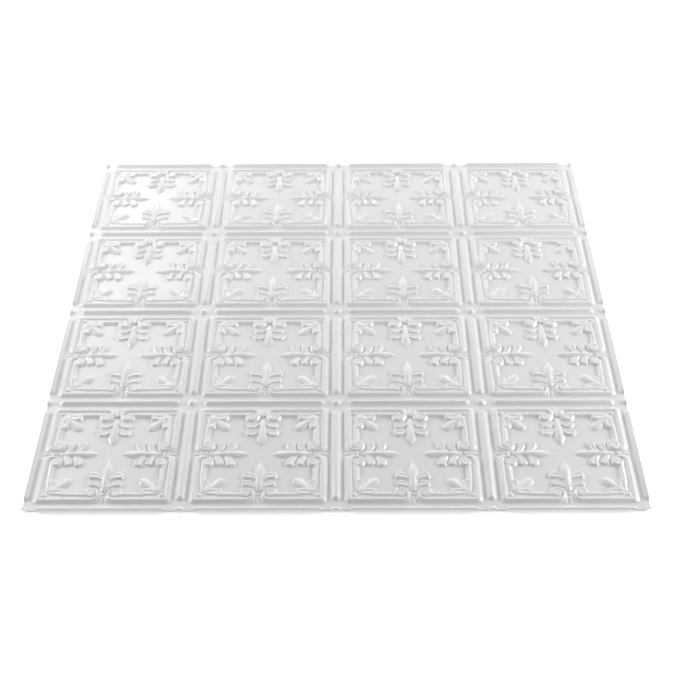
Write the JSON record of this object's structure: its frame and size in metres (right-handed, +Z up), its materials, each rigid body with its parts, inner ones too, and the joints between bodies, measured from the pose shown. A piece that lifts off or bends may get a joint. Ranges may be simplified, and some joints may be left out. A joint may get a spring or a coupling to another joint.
{
  "type": "pvc drop ceiling tile",
  "caption": "Square lay-in ceiling tile formed from white PVC sheet, with beaded grid, framed panels, palmettes and corner leaves in low relief.",
  "frame": {"origin": "middle of the tile's footprint, on the plane that its flat webs rest on", "axes": "+Z up out of the show face, X and Y along the tile's edges"},
  "size_m": [0.6032, 0.6032, 0.0042],
  "materials": {
    "white_pvc": "semi-gloss white, smooth formed sheet"
  },
  "bodies": {
    "root": {"ceiling_tile": "white_pvc"}
  },
  "joints": []
}
